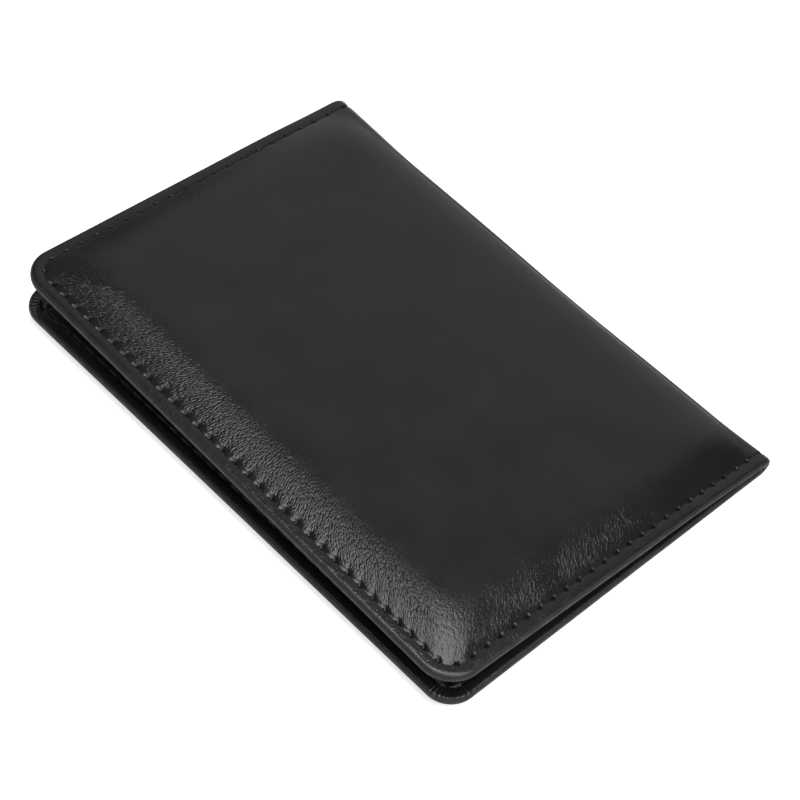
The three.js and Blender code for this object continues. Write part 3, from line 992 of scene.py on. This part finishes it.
def sleeve_piece(leaf, material):
    """Sleeve of a leaf: a leather sheet from its mouth to the fore edge, folded over along the mouth, with
    the middle of the mouth standing a little off the lining and a crease pressed beside it."""
    thickness, mouth_round, beside_mouth = 0.4, 0.35, 3.5
    reach = leaf.width - SHEET_INSET
    corner = leaf.corner - SHEET_INSET
    rows = np.concatenate([
        leaf.mouth + mouth_round * (1.0 - np.cos(np.linspace(0.0, math.pi / 2.0, 6)[:-1])),
        leaf.mouth + np.linspace(mouth_round, beside_mouth, 16)[:-1],
        np.linspace(leaf.mouth + beside_mouth, reach, 50),
    ])
    s, y = round_ended(rows, reach, leaf.half - SHEET_INSET, corner, 90)
    to_mouth = s - leaf.mouth
    lift = 0.42 * (1.0 - (y / leaf.half) ** 2) ** 1.5 * np.exp(-to_mouth / 14.0)
    crease = 0.10 * bell(to_mouth - 2.4, 0.28)
    swell = 0.12 * bell(to_mouth - 1.0, 0.9)
    to_go = 1.0 - np.clip(to_mouth / mouth_round, 0.0, 1.0)
    round_off = 0.28 * (1.0 - np.sqrt(np.clip(1.0 - to_go ** 2, 0.0, 1.0)))
    top = SLEEVE_FACE - lift + crease - swell + round_off + 0.04 * drift(y - 0.5 * s, 23.0, 9)
    under = np.maximum(SLEEVE_FACE + thickness - lift - round_off, top + 0.02)
    maps = {"lay": (s / UV_STEP, y / UV_STEP)}
    made = two_faces(leaf, "sleeve_leather", material, s, y, (top, under), maps)
    return made, *flat_size(leaf, reach - leaf.mouth, corner)


def board_piece(leaf, material):
    """Stiffener board of a leaf: a flat plate with round fore corners, inside the padded face."""
    from_fold, inset, corner, slack = 5.2, 6.4, 5.0, 0.05
    reach = leaf.width - inset
    s, y = round_ended(np.linspace(from_fold, reach, 40), reach, leaf.half - inset, corner, 40)
    return two_faces(leaf, "stiffener", material, s, y, (BASE_FACE + slack, BOARD_BACK - slack), {})


def stitch_piece(leaf, material, name, outside):
    """Row of stitches along the seam: each is a short tube that lies in its pit and dives at both ends by a
    power of the way from its middle. The needle's stitches lie in the face, and the bobbin's, which are
    longer, in the hem."""
    reach = 0.75 if outside else 1.6
    sunk, needle_dive, bobbin_dive = 0.44, 0.55, 0.5
    ply_length, plies, rings = 0.55, 3.0, 8
    share = np.linspace(-1.0, 1.0, 7)
    chance = np.random.default_rng(31 if outside else 32)
    along = leaf.middles[:, None] + reach * share[None, :] + 0.08 * chance.standard_normal((leaf.stitches, 1))
    inset = leaf.seam - 0.1 + 0.05 * share[None, :] * chance.standard_normal((leaf.stitches, 1))
    run = np.clip(along - leaf.bend, 0.0, leaf.run)
    over = np.minimum(along, leaf.run + 2.0 * leaf.bend - along) - leaf.bend
    s, y = leaf.ring(inset, run, False)
    s = np.where(over < 0.0, over, s)
    radius = leaf.thread / 2.0
    if outside:
        level = BORDER_FACE - sunk - needle_dive * np.abs(share[None, :]) ** 2.6
    else:
        level = leaf.hem_level(s) + radius * 2.0 + bobbin_dive * np.abs(share[None, :]) ** 4
    line = leaf.place(s, y, level) / MM
    ahead = np.gradient(line, axis=1)
    ahead /= np.linalg.norm(ahead, axis=2, keepdims=True)
    upward = leaf.place(s, y, level + 0.5) / MM - line
    side = np.cross(ahead, upward)
    side /= np.linalg.norm(side, axis=2, keepdims=True)
    up = np.cross(side, ahead)
    ends = np.sqrt(np.clip(1.0 - np.abs(share) ** 6, 0.25, 1.0))
    points = tube(line, side, up, radius * np.broadcast_to(ends, line.shape[:2]), rings) * MM
    sheet = Sheet()
    round_share = np.linspace(0.0, 1.0, rings, endpoint=False)
    points = points.reshape(leaf.stitches * len(share), rings, 3)
    faces = grid_faces(len(share), rings, 0, closed=True)
    starts = np.arange(leaf.stitches)[:, None, None] * len(share) * rings
    sheet.points.append(points.reshape(-1, 3))
    sheet.quads.append((starts + faces[None]).reshape(-1, 4))
    sheet.smooth.append(np.full(len(faces) * leaf.stitches, True))
    turns = np.broadcast_to(round_share, (leaf.stitches, len(share), rings))
    length = np.broadcast_to((along / ply_length)[..., None], turns.shape)
    sheet.maps["lay"] = [np.stack([length, plies * turns], axis=-1).reshape(-1, 2)]
    last = (len(share) - 1) * rings
    loop = np.arange(rings)
    for start in (np.arange(leaf.stitches) * len(share) * rings).tolist():
        sheet.end(start + loop, True)
        sheet.end(start + last + loop[::-1], True)
    return sheet.make(name, material)


class LeafSteps:
    """What the steps that make both leaves have in common."""

    @staticmethod
    def leaves(context):
        """Back and front leaf at the sizes that are set."""
        return [Leaf(side, context.scene.cover_sizes) for side in SIDES]


class COVER_OT_leather(LeafSteps, bpy.types.Operator):
    """Makes the outer leather of both leaves with its padding, turned edges, hems and seam"""

    bl_idname = "cover.leather"
    bl_label = "Outer leather"

    def execute(self, context):
        material = leather_material(context.scene.cover_finish)
        edge = edge_material(context.scene.cover_finish)
        for leaf in self.leaves(context):
            made = leather_piece(leaf, material)
            rub_edge(made, edge)
            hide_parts(f"{leaf.side}_skin", f"{leaf.side}_foam", "spine_skin")
            fold_blend(made)
        return {"FINISHED"}


class COVER_OT_boards(LeafSteps, bpy.types.Operator):
    """Makes the stiffener board inside each leaf"""

    bl_idname = "cover.boards"
    bl_label = "Stiffener boards"

    def execute(self, context):
        material = board_material(context.scene.cover_finish)
        for leaf in self.leaves(context):
            made = board_piece(leaf, material)
            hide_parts(f"{leaf.side}_board")
            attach(made, f"{leaf.side}_cover")
        return {"FINISHED"}


class COVER_OT_linings(LeafSteps, bpy.types.Operator):
    """Makes the woven lining of both leaves and of the fold"""

    bl_idname = "cover.linings"
    bl_label = "Linings"

    def execute(self, context):
        material = lining_material(context.scene.cover_finish)
        for leaf in self.leaves(context):
            made, flat, area = lining_piece(leaf, material)
            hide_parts(f"{leaf.side}_lining", "spine_lining")
            fold_blend(made)
        return {"FINISHED"}


class COVER_OT_sleeves(LeafSteps, bpy.types.Operator):
    """Makes the sleeve of each leaf, caught under the hem on three sides"""

    bl_idname = "cover.sleeves"
    bl_label = "Sleeves"

    def execute(self, context):
        material = sleeve_material(context.scene.cover_finish)
        for leaf in self.leaves(context):
            made, flat, area = sleeve_piece(leaf, material)
            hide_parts(f"{leaf.side}_sleeve")
            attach(made, f"{leaf.side}_cover")
        return {"FINISHED"}


class COVER_OT_stitches(LeafSteps, bpy.types.Operator):
    """Makes the needle's and the bobbin's stitches of the seam, over the ends of the fold too"""

    bl_idname = "cover.stitches"
    bl_label = "Stitches"

    def execute(self, context):
        material = thread_material(context.scene.cover_finish)
        for leaf in self.leaves(context):
            for label, outside in (("needle", True), ("bobbin", False)):
                made = stitch_piece(leaf, material, f"{leaf.side}_{label}_stitches", outside)
                ends = [f"spine_{label}_thread_{end}" for end in ("head", "tail")]
                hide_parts(f"{leaf.side}_{label}_thread", *ends)
                fold_blend(made)
        return {"FINISHED"}


class COVER_OT_stage(bpy.types.Operator):
    """Makes the floor, the studio light and the camera"""

    bl_idname = "cover.stage"
    bl_label = "Stage"

    def execute(self, context):
        scene = context.scene
        scene.view_settings.view_transform = "Standard"
        self.floor(scene)
        self.sky(scene)
        self.lamps(scene)
        self.camera(scene)
        return {"FINISHED"}

    def floor(self, scene):
        """Flat floor under the cover: a disc's grid of rings, matt, and lit up to white for the camera and
        for rays that pass through a piece."""
        radius, glow_strength = 6.0, 0.62
        ring = np.linspace(0.0, 1.0, 25)[:, None] ** 2 * radius
        angle = np.linspace(0.0, 2.0 * math.pi, 64, endpoint=False)[None, :]
        points = np.stack([ring * np.cos(angle), ring * np.sin(angle), 0.0 * ring * angle], axis=-1)
        m = Nodes(bpy.data.materials.new("pale_floor"))
        colour = scene.cover_finish.floor
        place = m.add("ShaderNodeTexCoord").outputs["Object"]
        speck = m.add("ShaderNodeTexNoise", Vector=place, Scale=40.0, Detail=2.0).outputs[0]
        shade = m.shades(speck, colour, 0.985, 1.015)
        matt = m.add("ShaderNodeBsdfDiffuse", Color=shade).outputs[0]
        glow = m.add("ShaderNodeEmission", Color=(1.0, 1.0, 1.0, 1.0), Strength=glow_strength).outputs[0]
        path = m.add("ShaderNodeLightPath").outputs
        seen = m.maths("MAXIMUM", path["Is Camera Ray"], path["Is Transmission Ray"])
        lit = m.wire("ShaderNodeAddShader", {}, matt, glow).outputs[0]
        m.show(m.wire("ShaderNodeMixShader", {}, seen, matt, lit))
        sheet = Sheet()
        sheet.add(points, {}, {}, closed=True)
        made = sheet.make("floor", m.owner)

    def sky(self, scene):
        """Even pale light all round, white to the camera."""
        m = Nodes(bpy.data.worlds.new("studio"), "ShaderNodeOutputWorld")
        soft, white = [
            m.add("ShaderNodeBackground", Color=(1.0, 1.0, 1.0, 1.0), Strength=strength).outputs[0]
            for strength in (0.13, 1.0)
        ]
        seen = m.add("ShaderNodeLightPath").outputs["Is Camera Ray"]
        scene.world = m.show(m.wire("ShaderNodeMixShader", {}, seen, soft, white))

    def lamps(self, scene):
        """Softboxes, each a place, a point that it faces, a size and a power in watts."""
        boxes = (
            ("top_box", (-0.02, 0.0, 0.6), (-0.02, 0.0, 0.0), (0.40, 0.36), 2.1),
            ("head_box", (-0.03, 0.65, 0.85), (0.0, 0.0, 0.0), (0.60, 0.60), 6.5),
            ("fore_fill", (0.75, 0.3, 0.68), (0.0, 0.0, 0.0), (0.8, 1.1), 3.6),
            ("far_panel", (-1.02, -0.64, 0.75), (0.0, 0.0, 0.75), (1.1, 1.5), 2.1),
        )
        for name, place, facing, size, power in boxes:
            lamp = bpy.data.lights.new(name, "AREA")
            lamp.shape = "RECTANGLE"
            lamp.size, lamp.size_y = size
            lamp.energy = power
            lamp.color = (0.96, 0.97, 1.0)
            made = bpy.data.objects.new(name, lamp)
            scene.collection.objects.link(made)
            made.location = place
            made.rotation_euler = (Vector(place) - Vector(facing)).to_track_quat("Z", "Y").to_euler()

    def camera(self, scene):
        """Camera at the photograph's angle, turned about its line of sight by the roll."""
        view = scene.cover_view
        sine, cosine = math.sin(view.azimuth), math.cos(view.azimuth)
        level = math.cos(view.elevation)
        right = Vector((cosine, sine, 0.0))
        back = Vector((sine * level, -cosine * level, math.sin(view.elevation)))
        up = back.cross(right)
        across = right * math.cos(view.roll) + up * math.sin(view.roll)
        upward = up * math.cos(view.roll) - right * math.sin(view.roll)
        turn = Matrix((across, upward, back)).transposed()
        data = bpy.data.cameras.new("camera")
        data.sensor_width = 36.0
        data.lens = view.lens
        data.clip_start = 0.01
        data.clip_end = 100.0
        made = bpy.data.objects.new("camera", data)
        scene.collection.objects.link(made)
        made.matrix_world = Matrix.Translation(Vector(view.target) + back * view.distance) @ turn.to_4x4()
        scene.camera = made


class COVER_PT_panel(bpy.types.Panel):
    """Lists the steps that dress the cover, and its sizes and finishes"""

    bl_idname = "COVER_PT_panel"
    bl_label = "Document cover"
    bl_space_type = "VIEW_3D"
    bl_region_type = "UI"
    bl_category = "Document Cover"

    def draw(self, context):
        column = self.layout.column()
        for step in STEPS:
            column.operator(step.bl_idname)
        for group in (context.scene.cover_sizes, context.scene.cover_finish, context.scene.cover_view):
            box = self.layout.box()
            for label in group.__annotations__:
                box.prop(group, label)


STEPS = (
    COVER_OT_stage, COVER_OT_leather, COVER_OT_boards, COVER_OT_linings, COVER_OT_sleeves, COVER_OT_stitches,
)
CLASSES = (CoverSizes, CoverFinish, CoverView, *STEPS, COVER_PT_panel)


def register():
    """Registers the classes and gives the scene their settings."""
    for kind in CLASSES:
        bpy.utils.register_class(kind)
    bpy.types.Scene.cover_sizes = PointerProperty(type=CoverSizes)
    bpy.types.Scene.cover_finish = PointerProperty(type=CoverFinish)
    bpy.types.Scene.cover_view = PointerProperty(type=CoverView)


def unregister():
    """Takes the settings and the classes away again."""
    del bpy.types.Scene.cover_view
    del bpy.types.Scene.cover_finish
    del bpy.types.Scene.cover_sizes
    for kind in reversed(CLASSES):
        bpy.utils.unregister_class(kind)


def main():
    """Makes the stage and the cover."""
    register()
    bpy.ops.cover.stage()
    bpy.ops.cover.leather()
    bpy.ops.cover.boards()
    bpy.ops.cover.linings()
    bpy.ops.cover.sleeves()
    bpy.ops.cover.stitches()


if __name__ == "__main__":
    main()
